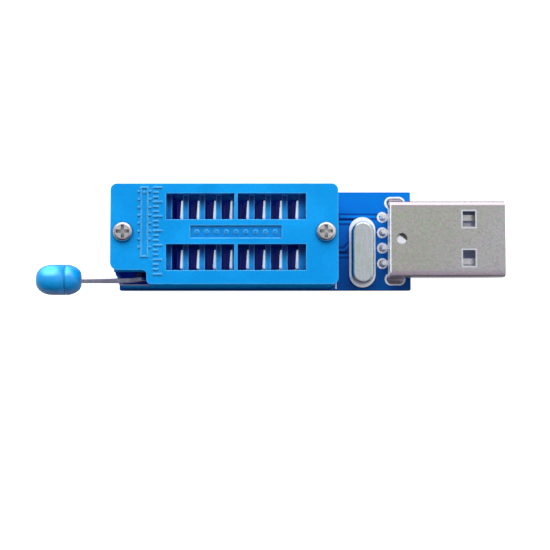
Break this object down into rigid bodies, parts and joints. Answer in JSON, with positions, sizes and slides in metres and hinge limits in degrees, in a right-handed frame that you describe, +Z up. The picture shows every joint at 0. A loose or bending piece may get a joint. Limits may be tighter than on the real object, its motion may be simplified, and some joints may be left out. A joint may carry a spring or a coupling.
{
  "type": "usb microcontroller programmer",
  "caption": "Stick programmer for pluggable chips: blue circuit board with a lever-operated zero-insertion-force chip socket, a crystal and a USB type A plug.",
  "frame": {"origin": "centre of the USB plug's open mouth", "axes": "+X the way the plug goes in, +Y away from the lever side, +Z up out of the board's component side"},
  "size_m": [0.0739, 0.0171, 0.0165],
  "materials": {
    "circuit_board": "solder-masked glass-fibre laminate",
    "socket_base": "moulded, satin",
    "socket_cover": "moulded, satin",
    "lever_knob": "moulded, glossy",
    "contact_slider": "moulded, satin",
    "cover_screws": "nickel plated",
    "lever_blade": "stamped, bare",
    "cam_shaft": "turned, blued",
    "contact_springs": "tin-plated copper alloy",
    "usb_shell": "nickel-plated sheet",
    "usb_insulator": "moulded, off-white",
    "usb_contacts": "tin plated",
    "solder": "tin solder",
    "crystal_can": "drawn, nickel plated",
    "crystal_header": "pressed",
    "crystal_leads": "tinned wire",
    "glass_seal": "fused bead",
    "crystal_clips": "pressed",
    "quartz": "polished blank",
    "chip_body": "moulded epoxy",
    "chip_leads": "tinned",
    "ceramic": "fired ceramic",
    "resistor": "glazed film",
    "end_caps": "tinned",
    "led_base": "moulded",
    "led_lens": "clear resin"
  },
  "bodies": {
    "programmer": {"ceramic_capacitor_bodies": "ceramic", "ceramic_capacitor_ends": "end_caps", "circuit_board": "circuit_board", "contact_springs_front": "contact_springs", "contact_springs_rear": "contact_springs", "cover_screws": "cover_screws", "crystal_can": "crystal_can", "crystal_clips": "crystal_clips", "crystal_glass_seals": "glass_seal", "crystal_header": "crystal_header", "crystal_leads": "crystal_leads", "crystal_solder": "solder", "interface_chip_body": "chip_body", "interface_chip_leads": "chip_leads", "quartz_blank": "quartz", "resistor_bodies": "resistor", "resistor_ends": "end_caps", "shell_leg_solder": "solder", "socket_base": "socket_base", "socket_cover": "socket_cover", "socket_solder_front": "solder", "socket_solder_rear": "solder", "status_led_base": "led_base", "status_led_ends": "end_caps", "status_led_lens": "led_lens", "usb_contacts": "usb_contacts", "usb_insulator": "usb_insulator", "usb_shell": "usb_shell", "usb_tail_solder": "solder"},
    "lever": {"lever_blade": "lever_blade", "cam_shaft": "cam_shaft", "lever_knob": "lever_knob"},
    "slider": {"contact_slider": "contact_slider"}
  },
  "joints": [
    {"name": "lever_hinge", "type": "hinge", "parent": "programmer", "child": "lever", "pos_m": [-0.0576, -0.0052, 0.00415], "axis": [0, 1, 0], "range_deg": [0, 90]},
    {"name": "contact_slide", "type": "slide", "parent": "programmer", "child": "slider", "axis": [-1, 0, 0], "range_m": [0, 0.0008], "deforming": ["contact_springs_front", "contact_springs_rear"]}
  ],
  "couplings": [
    {"joint": "contact_slide", "follows": "lever_hinge", "m_per_rad": 0.000509}
  ]
}
